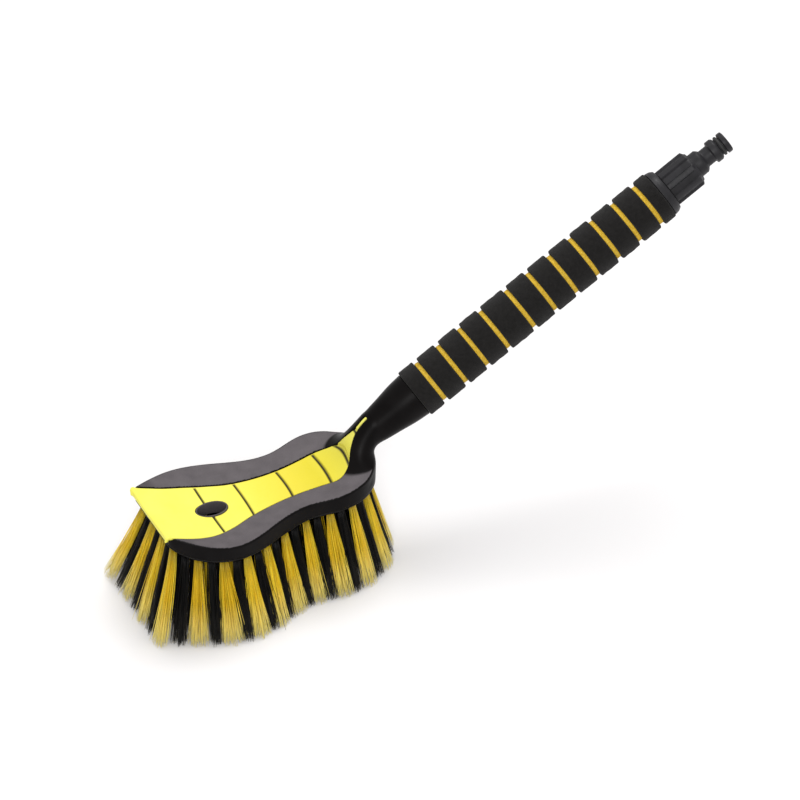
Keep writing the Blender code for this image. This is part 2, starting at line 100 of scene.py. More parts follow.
# Soft panel: half-width along the head and up the neck, and its grooves
PANEL_EDGE = ((-78, 28.9), (-72, 28.2), (-60, 28.0), (-43, 26.8), (-28, 22.8), (-14, 17.8), (4, 14.4),
              (20, 13.6), (34, 14.6), (46, 16.0), (50, 15.4), (52.5, 14.3), (57.9, 10.2), (61.6, 5.2),
              (67.2, 1.5), (75.7, 1.1))
PANEL_TIP_X = 75.7
PANEL_THICK = 1.4
PANEL_GAP = 0.6  # dark gap between the panel and the strips
PANEL_SUNK = 0.3  # how far the panel lies below the strips beside it
PANEL_SHY = 0.1  # how far the panel's edge stays inside PANEL_EDGE
PANEL_ROUND = 0.6  # rounding of the panel's edge
PANEL_TIP_ROUND = 1.5  # length of the rounded tip of its tail
PANEL_TIP_HALF = 0.05
PANEL_NARROW = 1.5  # below this half-width its edge points move closer
RECESS_X = 60.0  # the panel's recess stays above a line through this point
RECESS_Z = 66.0
RECESS_SLOPE = 1.1
NUB_HEIGHT = 0.9  # raised corners at the two ends of the lip
NUB_LENGTH = 3.0
NUB_START_Y = 24.5
NUB_RISE = 2.0
LIP_FACE_X = -76.3
LIP_DROP = 3.2
LIP_ROUND = 1.6
LIP_CORNER = 1.7  # rounding of the lip's two ends, seen from above
GROOVE_DEPTH = 0.8
GROOVE_FAR_SHORT = 0.6  # how much sooner each groove ends on the +Y side
# x in the middle, slant and bow towards the rear, how far it stays from the two edges, and its width
GROOVES = ((-34.8, 0.02, 0.0, 1.0, 1.5), (-11.0, 0.03, 0.7, 0.7, 1.5), (17.5, 0.02, 0.9, 0.8, 1.6),
           (43.9, 0.03, 1.1, 1.0, 1.9), (58.2, 0.0, 0.6, 0.8, 3.4), (67.6, 0.0, 0.0, 0.1, 2.2))

# Handle: the CAD's sizes, with a softer foam surface
HANDLE_TILT = math.radians(30)
COS, SIN = math.cos(HANDLE_TILT), math.sin(HANDLE_TILT)
HANDLE_START = (110.0, 0.0, 104.0)
NECK_RADII = ((3.0, 16.2), (0.0, 15.9), (-10.0, 15.0), (-20.0, 13.4), (-30.0, 11.9), (-38.0, 10.65))
NECK_FOOT = (((62.3, 83.5), (79.2, 73.8), 13.0), ((57.8, 75.4), (77.6, 69.5), 19.5),
             ((50.0, 66.2), (76.0, 61.5), 25.5))
NECK_FILLET = 8.0
SIDE_FILLET = 3.0
NECK_NEAR_X = 25.0  # the neck matters only behind this
NECK_FAR = (50.0, 10.0, 10.0)  # stands for a point far from the neck
TUBE_R = 11.0
TUBE_IN_NECK = 14.0
GRIP_END = 201.2
FOAM_R = 17.0
FOAM_EDGE = 1.3
RING_R = 14.7
RING_WIDTH = 3.1
RING_COUNT = 11
FIRST_RING = 13.2
RING_PITCH = 17.4
WIDE_AFTER = 4
WIDE_EXTRA = 3.6
FOAM_START = 0.05
FOAM_GAP = 0.1  # between a segment and a ring
FOAM_WAVE = 0.05  # height of the waves of the soft surface
FOAM_STEP = 0.8

# Hose end: the CAD's sizes, with rounded edges
FLANGE_END = 206.9
THREAD_END = 219.0
THREAD_START = 2.0  # plain neck between the flange and the thread
THREAD_PITCH = 1.814
THREAD_R = 9.6
THREAD_DEPTH = 1.0
THREAD_STEP = 0.22  # longest step along the threaded fitting
THREAD_ROOT_R = 9.1
THREAD_FADE = 0.9  # length over which the thread starts and ends
FITTING_BORE = 6.0
PLUG_R = 9.2
PLUG_DEPTH = 18.0
SHOULDER_DEPTH = 0.5
FLANGE_R = 16.2
FLANGE_RIM_R = 15.7
FLANGE_RIM = 2.4  # length of the flange's sloping rim
FLANGE_FACE_R = 14.3
BARREL_R = 11.3
BARREL_END = 228.2
RIB_COUNT = 8
RIB_HEIGHT = 1.5
RIB_FOOT_R = 10.6  # the ribs grow out of the barrel from this radius
RIB_FADE = 0.6  # and die out this far on either side of its end
SOCKET_R = 10.4
SOCKET_FLOOR = 221.5
# distance along the handle, radius and corner rounding
SPIGOT = ((229.8, 10.2, 0.4), (229.8, 8.35, 0.3), (235.0, 8.35, 0.4), (236.4, 7.2, 0.3),
          (237.4, 6.0, 0.6), (243.0, 6.0, 0.4), (243.6, 7.8, 0.3), (247.4, 7.8, 0.4), (248.6, 6.9, 0.3),
          (249.0, 5.8, 0.2), (252.2, 5.8, 0.2), (252.6, 7.3, 0.3), (255.4, 7.3, 0.6), (256.0, 6.6, 0.4))
SPIGOT_BORE = 4.6
ORING_AT = 250.6
ORING_R = 6.55  # to the middle of the O-ring's oval section
ORING_HALF_LONG = 0.9
ORING_HALF_THICK = 0.45

# Bristles: laid out on the CAD's outline, with tips that stand 1.5 mm further out at the front
FRONT_SPREAD = 27.5  # how far the tips stand out beyond the roots, at the front
REAR_SPREAD = 16.0
SIDE_SPREAD = ((-76, 22), (-36, 27), (12, 25), (44, 21), (78, 18))
TUFTS = 48  # in the outer row
SECTORS = 12  # CAD nodes that share the outer row
TUFT_SHIFT = 0.4  # share of the pitch from the middle of the front to the first gap between tufts
INNER_CUTS = (-64.6, -46.5, -19.5, 8, 31, 51, 67)
OUTER_ROW_INSET = 5.6
BLACK_INSET = 0.7  # how much further in the black tufts of the outer row stand
INNER_PITCH = 8.4
INNER_ROW = 0.87  # distance between the inner rows, as a share of the pitch
INNER_INSET = 13.5  # how far the inner tufts stay inside the head's outline
INNER_END = 3  # and from the first and last of INNER_CUTS
INNER_HOLE = 4.5  # and from the hanging hole
TUFT_R = 2.1  # radius of a tuft at its root
FAN_YELLOW = 6.7  # its half-width at the tips along the row, for each kind of tuft
FAN_BLACK = 4.5
FAN_INNER = 5.2
FAN_DEEP = 4.2  # its half-depth at the tips across the row, for every kind
FAN_SCATTER = 0.12
TIP_SCATTER = 0.55
STRAY_SHARE = 0.05  # filaments that stand well out of their tuft
STRAY_SCATTER = 2.2
SWAY = 0.5
FLARE = 1.08  # above 1, a filament leans out more towards its tip
FILAMENT_R = 0.19
FILAMENT_POINTS = 6
OUTER_FILAMENTS = 105
INNER_FILAMENTS = 60
ROOT_DEPTH = 0.8  # how far a filament reaches into the block
SEED = 7


# ------------ curves and fields

def blend(x, knots):
    """Smooth curve through (x, value) knots, with flat ends."""
    at, value = np.array(knots, float).T
    before = np.maximum(np.arange(len(at)) - 1, 0)
    after = np.minimum(np.arange(len(at)) + 1, len(at) - 1)
    slope = (value[after] - value[before]) / (at[after] - at[before])
    x = np.clip(x, at[0], at[-1])
    i = np.clip(np.searchsorted(at, x, side="right") - 1, 0, len(at) - 2)
    span = at[i + 1] - at[i]
    t = (x - at[i]) / span
    return ((2 * t**3 - 3 * t**2 + 1) * value[i] + (t**3 - 2 * t**2 + t) * span * slope[i]
            + (3 * t**2 - 2 * t**3) * value[i + 1] + (t**3 - t**2) * span * slope[i + 1])


def ease(t):
    """Half a cosine wave, from 0 to 1."""
    return (1 - np.cos(np.pi * np.clip(t, 0, 1))) / 2


def smooth_max(a, b, size):
    """The larger of two fields, blended where they differ by less than size."""
    near = np.maximum(size - np.abs(a - b), 0) / size
    return np.maximum(a, b) + near * near * size / 4


def smooth_min(a, b, size):
    """The smaller of two fields, blended where they differ by less than size."""
    return -smooth_max(-a, -b, size)


def half_width(x):
    """Half-width of the head at x."""
    front_t = np.clip((x - FRONT_X) / (BULGE_X - FRONT_X), 0, 1)
    front = FRONT_HALF + (BULGE_HALF - FRONT_HALF) * np.sin(np.pi / 2 * front_t)
    middle = BULGE_HALF + (WAIST_HALF - BULGE_HALF) * ease((x - BULGE_X) / (WAIST_X - BULGE_X))
    tail = WAIST_HALF + (TAIL_HALF - WAIST_HALF) * ease((x - WAIST_X) / (TAIL_X - WAIST_X))
    rear_t = np.clip((x - TAIL_X) / (REAR_X - TAIL_X), 0, 1)
    rear = TAIL_HALF * np.sqrt(1 - rear_t * rear_t)
    return np.where(x < BULGE_X, front, np.where(x < WAIST_X, middle, np.where(x < TAIL_X, tail, rear)))


def oval_field(u, v, reach_u, reach_v):
    """Distance, to first order, from an oval with those half-widths."""
    size = np.sqrt((u / reach_u) ** 2 + (v / reach_v) ** 2) + 1e-9
    slope = np.sqrt((u / reach_u**2) ** 2 + (v / reach_v**2) ** 2) + 1e-9
    return size * (size - 1) / slope


def length_along(path):
    """Distance from the first point of a path to each of its points."""
    return np.concatenate([[0], np.cumsum(np.hypot(*np.diff(path, axis=0).T))])


def hole_field(x, y, grow):
    """Distance, to first order, from the hanging hole widened by grow."""
    return oval_field(x - HOLE_X, y, HOLE_HALF_X + grow, HOLE_HALF_Y + grow)


def side_field(x, y):
    """Distance from the head's outline seen from above."""
    step = 0.1
    slope = (half_width(x + step) - half_width(x - step)) / (2 * step)
    along = (np.abs(y) - half_width(x)) / np.sqrt(1 + slope * slope)
    rear = oval_field(x - TAIL_X, y, REAR_X - TAIL_X, TAIL_HALF)
    return smooth_max(np.where(x < TAIL_X, along, rear), FRONT_X - x, CORNER_ROUND)


def top_z(x, y):
    """Height of the dished top of the head."""
    narrowest = 14  # keeps the dish shallow where the outline closes at the rear
    across = np.clip(np.abs(y) / np.maximum(half_width(x), narrowest), 0, 1)
    middle = blend(x, MIDDLE_Z)
    return middle + (blend(x, RIM_Z) - middle) * across**2


def neck_sections(count=160):
    """Sections of the neck from the grip down into the head: front and back points and half-width."""
    rows = []
    for along, r in NECK_RADII:
        x, z = HANDLE_START[0] + along * COS, HANDLE_START[2] + along * SIN
        rows.append((x - r * SIN, z + r * COS, x + r * SIN, z - r * COS, r))
    for front, back, half in NECK_FOOT:
        rows.append((*front, *back, half))
    at = np.linspace(0, len(rows) - 1, count)
    return np.array([blend(at, [(k, row[i]) for k, row in enumerate(rows)]) for i in range(5)])


NECK = neck_sections()


def neck_field(x, y, z):
    """Distance, to first order, from the neck."""
    x, z = np.broadcast_arrays(x, z)
    shape = x.shape
    near = x.ravel() > NECK_NEAR_X
    px, pz = x.ravel()[near, None], z.ravel()[near, None]
    front_x, front_z, back_x, back_z, half = NECK
    middle_x, middle_z = (front_x + back_x) / 2, (front_z + back_z) / 2
    reach = np.hypot(front_x - back_x, front_z - back_z) / 2
    ex, ez = (front_x - back_x) / 2 / reach, (front_z - back_z) / 2 / reach
    above = (px - middle_x) * ez - (pz - middle_z) * ex
    i = np.clip((above < 0).sum(1), 1, len(half) - 1)
    rows = np.arange(len(i))
    low, high = above[rows, i - 1], above[rows, i]
    t = np.clip(-low / (high - low + 1e-9), 0, 1)

    def at(values):
        return values[i - 1] + (values[i] - values[i - 1]) * t

    u = (px[:, 0] - at(middle_x)) * at(ex) + (pz[:, 0] - at(middle_z)) * at(ez)
    found = [np.full(near.shape, fill) for fill in NECK_FAR]
    for whole, part in zip(found, (u, at(reach), at(half))):
        whole[near] = part
    u, reach, half = (whole.reshape(shape) for whole in found)
    return oval_field(u, y, reach, half)


def upper_field(x, y, z):
    """Distance above the top of the head and its neck, as if the head had no sides."""
    return smooth_min(z - top_z(x, y), neck_field(x, y, z), NECK_FILLET)


def handle_place(x, z):
    """Distance along the handle's axis, and above it."""
    dx, dz = x - HANDLE_START[0], z - HANDLE_START[2]
    return dx * COS + dz * SIN, dz * COS - dx * SIN


def shell_field(x, y, z):
    """The shell: head with its neck, recessed for the panel, the block, the tube and the hole."""
    along, up = handle_place(x, z)
    around = smooth_min(side_field(x, y), neck_field(x, y, z), SIDE_FILLET)
    solid = smooth_max(upper_field(x, y, z), around, RIM_ROUND)
    solid = smooth_max(solid, along, EDGE_ROUND)
    solid = smooth_max(solid, blend(x, UNDER_Z) + FLANGE_THICK + GAP - z, EDGE_ROUND)
    socket = np.maximum(np.sqrt(y * y + up * up) - TUBE_R - GAP, -TUBE_IN_NECK - along)
    pocket = np.maximum(side_field(x, y) + SKIRT_INSET, z - blend(x, UNDER_Z) - BLOCK_THICK - GAP)
    recess = np.maximum(-upper_field(x, y, z) - PANEL_THICK - PANEL_SUNK,
                        np.abs(y) - blend(x, PANEL_EDGE) - PANEL_GAP)
    recess_floor = RECESS_Z + RECESS_SLOPE * (x - RECESS_X)
    recess = np.maximum(recess, np.maximum(x - PANEL_TIP_X - GAP, recess_floor - z))
    hole = hole_field(x, y, HOLE_WALL / 2)
    for cut in (socket, pocket, hole):
        solid = np.maximum(solid, -cut)
    return smooth_max(solid, -recess, EDGE_ROUND)


def block_field(x, y, z):
    """The plate that holds the bristles: a flange with a raised middle, spray holes and the hole."""
    under = blend(x, UNDER_Z)
    side = side_field(x, y)
    flange = smooth_max(side + BLOCK_INSET, z - under - FLANGE_THICK, EDGE_ROUND)
    plug_inset = SKIRT_INSET + SEAL_WIDTH + 2 * GAP
    plug = smooth_max(side + plug_inset, z - under - BLOCK_THICK, EDGE_ROUND)
    solid = smooth_max(np.minimum(flange, plug), under - z, EDGE_ROUND)
    solid = np.maximum(solid, -hole_field(x, y, HOLE_IN_BLOCK))
    for at in SPRAY_X:
        solid = np.maximum(solid, SPRAY_R - np.hypot(x - at, np.abs(y) - SPRAY_Y))
    return solid


# ------------ making meshes

def add_object(name, data):
    """An object of that mesh, light or camera, linked into the scene."""
    made = bpy.data.objects.new(name, data)
    bpy.context.collection.objects.link(made)
    return made


def add_piece(name, points, faces, look, nodes=(), body="brush", sharp_angle=None):
    """A piece from points in millimetres, which rides on a body and stands for CAD nodes."""
    mesh = bpy.data.meshes.new(name)
    mesh.from_pydata((np.asarray(points, float) * MM).tolist(), [], faces)
    mesh.update()
    mesh.shade_smooth()
    if sharp_angle is not None:
        mesh.set_sharp_from_angle(angle=math.radians(sharp_angle))
    made = add_object(name, mesh)
    mesh.materials.append(look)
    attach(made, body)
    if nodes:
        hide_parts(*nodes)
    return made


def point_values(piece, name, values):
    """Stores a number for each point of a piece, for its material to read."""
    attribute = piece.data.attributes.new(name, "FLOAT", "POINT")
    attribute.data.foreach_set("value", np.asarray(values, np.float32))


def slope_of(field, points, step=0.05):
    """Gradient of a field at points."""
    columns = []
    for axis in range(3):
        shift = np.zeros(3)
        shift[axis] = step
        ahead, behind = points + shift, points - shift
        columns.append((field(*ahead.T) - field(*behind.T)) / (2 * step))
    return np.array(columns).T


def surface_of(field, low, high, step):
    """Points and quads of the surface where a field is 0, on a grid of that step."""
    axes = [np.arange(a, b + step, step) for a, b in zip(low, high)]
    value = field(*np.meshgrid(*axes, indexing="ij", sparse=True))
    inside = value < 0
    cells = tuple(n - 1 for n in inside.shape)
    count = np.zeros(cells, np.int8)
    corners = [(i, j, k) for i in (0, 1) for j in (0, 1) for k in (0, 1)]
    for i, j, k in corners:
        count += inside[i:i + cells[0], j:j + cells[1], k:k + cells[2]]
    crossed = np.argwhere((count > 0) & (count < 8))
    number = np.full(cells, -1, np.int64)
    number[tuple(crossed.T)] = np.arange(len(crossed))

    total = np.zeros((len(crossed), 3))
    weight = np.zeros(len(crossed))
    for axis in range(3):
        for corner in corners:
            if corner[axis]:
                continue
            start = crossed + corner
            end = start.copy()
            end[:, axis] += 1
            a, b = value[tuple(start.T)], value[tuple(end.T)]
            hit = (a < 0) != (b < 0)
            place = start.astype(float)
            place[hit, axis] += a[hit] / (a[hit] - b[hit])
            total[hit] += place[hit]
            weight[hit] += 1
    points = np.array(low) + step * total / weight[:, None]
    for _ in range(3):
        slope = slope_of(field, points)
        size = np.maximum((slope * slope).sum(1), 0.2)
        move = slope * (field(*points.T) / size)[:, None]
        points -= np.clip(move, -step / 2, step / 2)

    quads = []
    for axis in range(3):
        u, v = (axis + 1) % 3, (axis + 2) % 3
        here = [slice(None)] * 3
        there = [slice(None)] * 3
        here[axis], there[axis] = slice(None, -1), slice(1, None)
        starts, ends = inside[tuple(here)], inside[tuple(there)]
        for leaving in (True, False):
            edges = np.argwhere((starts != ends) & (starts == leaving))
            ring = []
            for du, dv in ((-1, -1), (0, -1), (0, 0), (-1, 0)):
                cell = edges.copy()
                cell[:, u] += du
                cell[:, v] += dv
                ring.append(number[tuple(cell.T)])
            quads.append(np.array(ring if leaving else ring[::-1]).T)
    return points, np.concatenate(quads).tolist()


def quarter_round(share):
    """Height of a quarter circle, from 0 to 1, over a share that goes from 0 to 1."""
    return np.sqrt(1 - (1 - share) ** 2)


def skin_faces(loops, count, closed_chain):
    """Quads through equal loops of points, with flat ends unless the chain closes on itself."""
    faces = []
    for i in range(loops if closed_chain else loops - 1):
        here, there = i * count, (i + 1) % loops * count
        for k in range(count):
            after = (k + 1) % count
            faces.append((here + k, here + after, there + after, there + k))
    if not closed_chain:
        faces.append(tuple(range(count - 1, -1, -1)))
        faces.append(tuple(range((loops - 1) * count, loops * count)))
    return faces


def rounded(corners, steps=5):
    """A closed outline from (along, radius, corner rounding) triples."""
    outline = []
    for i, (a, r, size) in enumerate(corners):
        here = np.array((a, r), float)
        before = np.array(corners[i - 1][:2], float) - here
        after = np.array(corners[(i + 1) % len(corners)][:2], float) - here
        just_under_half = 0.49
        size = min(size, min(np.linalg.norm(before), np.linalg.norm(after)) * just_under_half)
        start = here + before / np.linalg.norm(before) * size
        end = here + after / np.linalg.norm(after) * size
        if size == 0:
            outline.append(here)
            continue
        for t in np.linspace(0, 1, steps):
            outline.append(start * (1 - t) ** 2 + 2 * here * t * (1 - t) + end * t**2)
    return np.array(outline)


def finer(outline, longest):
    """An outline with points added so that no step is longer than that."""
    points = []
    for here, there in zip(outline, np.roll(outline, -1, axis=0)):
        parts = max(1, math.ceil(np.linalg.norm(there - here) / longest))
        points += [here + (there - here) * k / parts for k in range(parts)]
    return np.array(points)


def turned(name, outline, look, nodes, body="brush", sides=96, shape=None, sharp_angle=None):
    """A ring about the handle's axis from a closed outline of (along, radius) points."""
    turns = np.arange(sides) * 2 * np.pi / sides
    angle, along = np.meshgrid(turns, outline[:, 0], indexing="ij")
    radius = np.broadcast_to(outline[:, 1], angle.shape)
    if shape:
        radius = radius + shape(along, radius, angle)
    up, side = radius * np.cos(angle), radius * np.sin(angle)
    x = HANDLE_START[0] + along * COS - up * SIN
    z = HANDLE_START[2] + along * SIN + up * COS
    points = np.stack([x, side, z], axis=-1).reshape(-1, 3)
    faces = skin_faces(sides, len(outline), True)
    return add_piece(name, points, faces, look, nodes, body, sharp_angle)


# ------------ materials

class Look:
    """A Principled material and short ways to add the nodes that drive it."""

    def __init__(self, name, colour, roughness, specular=0.5):
        self.material = bpy.data.materials.new(name)
        self.material.use_nodes = True
        self.tree = self.material.node_tree
        self.shader = self.tree.nodes["Principled BSDF"]
        self.shader.inputs["Base Color"].default_value = (*colour, 1)
        self.shader.inputs["Roughness"].default_value = roughness
        self.shader.inputs["Specular IOR Level"].default_value = specular
        place = self.node("TexCoord")
        scale = self.node("VectorMath")
        scale.operation = "SCALE"
        scale.inputs["Scale"].default_value = 1 / MM
        self.link(place.outputs["Object"], scale.inputs[0])
        self.place = scale.outputs[0]

    def node(self, kind, **values):
        """A new shader node of that kind, with values for its inputs."""
        made = self.tree.nodes.new("ShaderNode" + kind)
        for name, value in values.items():
            made.inputs[name].default_value = value
        return made

    def link(self, source, target):
        """Joins an output to an input."""
        self.tree.links.new(source, target)

    def noise(self, size, detail=3.0, roughness=0.5):
        """Noise from 0 to 1 with features of that size in millimetres."""
        node = self.node("TexNoise", Scale=1 / size, Detail=detail, Roughness=roughness)
        self.link(self.place, node.inputs["Vector"])
        return node.outputs["Fac"]

    def pores(self, size):
        """Distance to the nearest pore's middle, with pores of that size in millimetres."""
        node = self.node("TexVoronoi", Scale=1 / size)
        self.link(self.place, node.inputs["Vector"])
        return node.outputs["Distance"]

    def value(self, name):
        """A number stored on the piece's points."""
        node = self.node("Attribute")
        node.attribute_name = name
        return node.outputs["Fac"]

    def ramp(self, factor, stops):
        """A colour that follows a factor through (position, colour) stops."""
        node = self.node("ValToRGB")
        points = node.color_ramp.elements
        while len(points) < len(stops):
            points.new(0.5)
        for point, (at, colour) in zip(points, stops):
            point.position = at
            point.color = (*colour, 1)
        self.link(factor, node.inputs["Fac"])
        return node.outputs["Color"]

    def shades(self, factor, dark, light, end=0.7):
        """A colour that goes from dark to light over the middle of a factor's range."""
        return self.ramp(factor, ((0.3, dark), (end, light)))

    def levels(self, factor, low, high, from_low=0.0, from_high=1.0):
        """A factor mapped from one range to another, and kept inside it."""
        limits = {"From Min": from_low, "From Max": from_high, "To Min": low, "To Max": high}
        node = self.node("MapRange", **limits)
        self.link(factor, node.inputs["Value"])
        return node.outputs["Result"]

    def mix(self, factor, a, b, mode="MIX"):
        """Two colours mixed; a factor or a colour may be a plain value."""
        node = self.node("Mix")
        node.data_type = "RGBA"
        node.blend_type = mode
        sockets = [s for s in node.inputs if s.enabled]
        for socket, given in zip(sockets, (factor, a, b)):
            if isinstance(given, bpy.types.NodeSocket):
                self.link(given, socket)
            elif isinstance(given, (int, float)):
                socket.default_value = given
            else:
                socket.default_value = (*given, 1)
        return next(s for s in node.outputs if s.enabled)

    def bump(self, layers):
        """Relief from (height, depth in millimetres) layers, one on another."""
        normal = None
        for height, depth in layers:
            node = self.node("Bump", Distance=depth * MM)
            self.link(height, node.inputs["Height"])
            if normal is not None:
                self.link(normal, node.inputs["Normal"])
            normal = node.outputs["Normal"]
        self.link(normal, self.shader.inputs["Normal"])

    def colour(self, source):
        """Drives the base colour."""
        self.link(source, self.shader.inputs["Base Color"])

    def roughness(self, source):
        """Drives the roughness."""
        self.link(source, self.shader.inputs["Roughness"])


def shell_look():
    """Black moulded plastic; the flat top of the head has a rougher spark-eroded finish, and its lighter
    speckled colour there is painted sheen, standing in for the overhead light's reflection.
    """
    look = Look("shell_plastic", (0.006, 0.0055, 0.0055), 0.4, 0.06)
    grain = look.noise(0.25, 2)
    flow = look.noise(14, 3)
    black = look.shades(flow, (0.0025, 0.002, 0.002), (0.005, 0.0042, 0.0042))
    # painted sheen: a lighter colour where the top faces up, standing in for the overhead light's reflection
    sheen_grey = look.shades(look.noise(9, 4), (0.104, 0.093, 0.099), (0.134, 0.120, 0.127))
    finish_and_sheen = look.value("finish_and_sheen")
    speckled_sheen = look.mix(look.levels(grain, 0, 0.5, 0.35, 0.7), sheen_grey, (0.066, 0.060, 0.063))
    look.colour(look.mix(finish_and_sheen, black, speckled_sheen))
    look.roughness(look.levels(finish_and_sheen, 0.38, 0.72))
    look.bump(((grain, 0.02), (look.noise(1.6, 2), 0.02)))
    return look.material


def panel_look():
    """Lemon soft-touch rubber with dark grooves; painted shade darkens it towards the waist and the foot of
    the neck, where it curves, and it lightens again up the neck.
    """
    look = Look("panel_rubber", (0.86, 0.82, 0.12), 0.55, 0.2)
    # painted shade: the lemon darkens along the panel where its surface curves up into the neck, and lightens
    # again at its tail
    shaded_lemon = look.ramp(look.value("rearward"), ((0.0, (0.84, 0.81, 0.13)), (0.35, (0.83, 0.77, 0.115)),
                                              (0.55, (0.76, 0.65, 0.06)), (0.75, (0.63, 0.54, 0.025)),
                                              (0.87, (0.64, 0.58, 0.06)), (1.0, (0.72, 0.70, 0.16))))
    cloud = look.levels(look.noise(18, 3), 0, 0.25, 0.35, 0.75)
    warm = look.mix(cloud, shaded_lemon, (0.76, 0.62, 0.03))
    specks = look.levels(look.noise(1.1, 4, 0.7), 0, 0.10, 0.45, 0.75)
    worn = look.mix(specks, warm, (0.62, 0.54, 0.05))
    look.colour(look.mix(look.value("groove"), worn, (0.018, 0.016, 0.004)))
    look.roughness(look.levels(look.noise(3, 3), 0.42, 0.60, 0.3, 0.7))
    look.bump(((look.noise(0.35, 2), 0.03), (look.noise(5, 2), 0.06)))
    return look.material


def block_look():
    """Black moulded plastic with fine swirls."""
    look = Look("block_plastic", (0.006, 0.0055, 0.0055), 0.4, 0.1)
    look.colour(look.shades(look.noise(10, 4), (0.0045, 0.004, 0.004), (0.009, 0.008, 0.008)))
    look.roughness(look.levels(look.noise(4, 3), 0.3, 0.5))
    look.bump(((look.noise(0.3, 2), 0.02),))
    return look.material


def foam_look():
    """Dense black foam with fine pores."""
    look = Look("grip_foam_black", (0.011, 0.0105, 0.010), 0.95, 0.08)
    pore = look.levels(look.pores(0.32), 0, 1, 0.05, 0.5)
    mottle = look.noise(2.4, 5, 0.7)
    dust = look.shades(mottle, (0.007, 0.0065, 0.006), (0.014, 0.013, 0.0125), 0.75)
    # painted shade: the colour darkens inside each pore
    look.colour(look.mix(look.levels(pore, 0.7, 0.0), dust, (0.003, 0.003, 0.003)))
    look.shader.inputs["Sheen Weight"].default_value = 0.06
    look.shader.inputs["Sheen Roughness"].default_value = 0.6
    look.bump(((pore, 0.10), (mottle, 0.15)))
    return look.material


def ring_look():
    """Amber foam, mottled."""
    look = Look("ring_foam_amber", (0.66, 0.42, 0.05), 0.85, 0.2)
    pore = look.levels(look.pores(0.4), 0, 1, 0.05, 0.5)
    mottle = look.noise(1.4, 5, 0.7)
    amber = look.ramp(mottle, ((0.25, (0.50, 0.29, 0.02)), (0.5, (0.70, 0.45, 0.035)),
                               (0.8, (0.80, 0.60, 0.13))))
    # painted shade: the colour darkens inside each pore
    look.colour(look.mix(look.levels(pore, 0.5, 0.0), amber, (0.36, 0.2, 0.02)))
    look.bump(((pore, 0.08), (mottle, 0.12)))
    return look.material


def moulded_look(name, dark, light, roughness, specular=0.4):
    """Plain moulded plastic or rubber with slow colour change, fine grain and scuffs."""
    look = Look(name, dark, roughness, specular)
    scuff = look.noise(2.2, 6, 0.75)
    cloud = look.shades(look.noise(7, 4), dark, light, 0.72)
    pale = tuple(min(1, 2.2 * c + 0.004) for c in light)
    look.colour(look.mix(look.levels(scuff, 0, 0.5, 0.62, 0.8), cloud, pale))
    look.roughness(look.levels(scuff, roughness - 0.08, roughness + 0.14, 0.3, 0.7))
    look.bump(((look.noise(0.28, 2), 0.03), (scuff, 0.03)))
    return look.material


def bristle_look(name, shades, tip, tip_share, specular):
    """Nylon filaments: each its own shade, paler at its frayed tip, with painted shade darkening it towards
    its root.
    """
    look = Look(name, shades[1], 0.38, specular)
    along = look.value("along")
    own = look.ramp(look.value("strand"), tuple(zip((0.0, 0.5, 1.0), shades)))
    streak = look.levels(look.noise(0.8, 3), 0.82, 1.12, 0.3, 0.7)
    varied = look.mix(1.0, own, streak, "MULTIPLY")
    tipped = look.mix(look.levels(along, 0, tip_share, 0.55, 1.0), varied, tip)
    # painted shade: filaments darken towards the root, where the head and the crowded tuft shade them
    rooted = look.levels(along, 0.55, 1.0, 0.0, 0.3)
    look.colour(look.mix(1.0, tipped, rooted, "MULTIPLY"))
    look.roughness(look.levels(along, 0.34, 0.6, 0.6, 1.0))
    look.bump(((look.noise(0.25, 2), 0.02),))
    return look.material


# ------------ camera, light and floor

def face(thing, place, direction):
    """Puts a camera or a light at a place, turned in a direction."""
    thing.location = place
    thing.rotation_mode = "QUATERNION"
    thing.rotation_quaternion = direction.to_track_quat("-Z", "Y")


def make_stage():
    """Camera at the brush's front left, a pale floor, a soft key light and an even white sky."""
    back = Vector((math.sin(CAMERA_AZIMUTH) * math.cos(CAMERA_ELEVATION),
                   -math.cos(CAMERA_AZIMUTH) * math.cos(CAMERA_ELEVATION), math.sin(CAMERA_ELEVATION)))
    data = bpy.data.cameras.new("camera")
    data.lens = CAMERA_LENS
    data.clip_end = 50
    camera = add_object("camera", data)
    face(camera, CAMERA_PLACE, -back)
    bpy.context.scene.camera = camera

    reach = 6.0
    corners = [(-reach, -reach, 0), (reach, -reach, 0), (reach, reach, 0), (-reach, reach, 0)]
    mesh = bpy.data.meshes.new("floor")
    mesh.from_pydata(corners, [], [(0, 1, 2, 3)])
    floor = add_object("floor", mesh)
    paper = Look("floor_paper", (0.82, 0.81, 0.813), 0.9, 0.1)
    mesh.materials.append(paper.material)

    def lamp(name, place, width, watts, aim):
        """A round area light that faces a point."""
        data = bpy.data.lights.new(name, "AREA")
        data.shape = "DISK"
        data.size = width
        data.energy = watts
        face(add_object(name, data), place, Vector(aim) - Vector(place))

    lamp("key_light", (0.45, 0.5, 1.6), 0.9, 15, (0.0, 0.0, 0.05))
    lamp("fill_light", (-0.8, -1.62, 1.42), 0.8, 21, (0.03, 0.0, 0.07))
    world = bpy.data.worlds.new("sky")
    world.use_nodes = True
    world.node_tree.nodes["Background"].inputs["Color"].default_value = (1.0, 0.995, 0.995, 1)
    world.node_tree.nodes["Background"].inputs["Strength"].default_value = 0.72
    bpy.context.scene.world = world
    bpy.context.scene.view_settings.view_transform = "Standard"


# ------------ head

def hole_point(angle, grow, z):
    """A point on the oval of the hanging hole, widened by grow."""
    return (HOLE_X + (HOLE_HALF_X + grow) * math.cos(angle), (HOLE_HALF_Y + grow) * math.sin(angle), z)


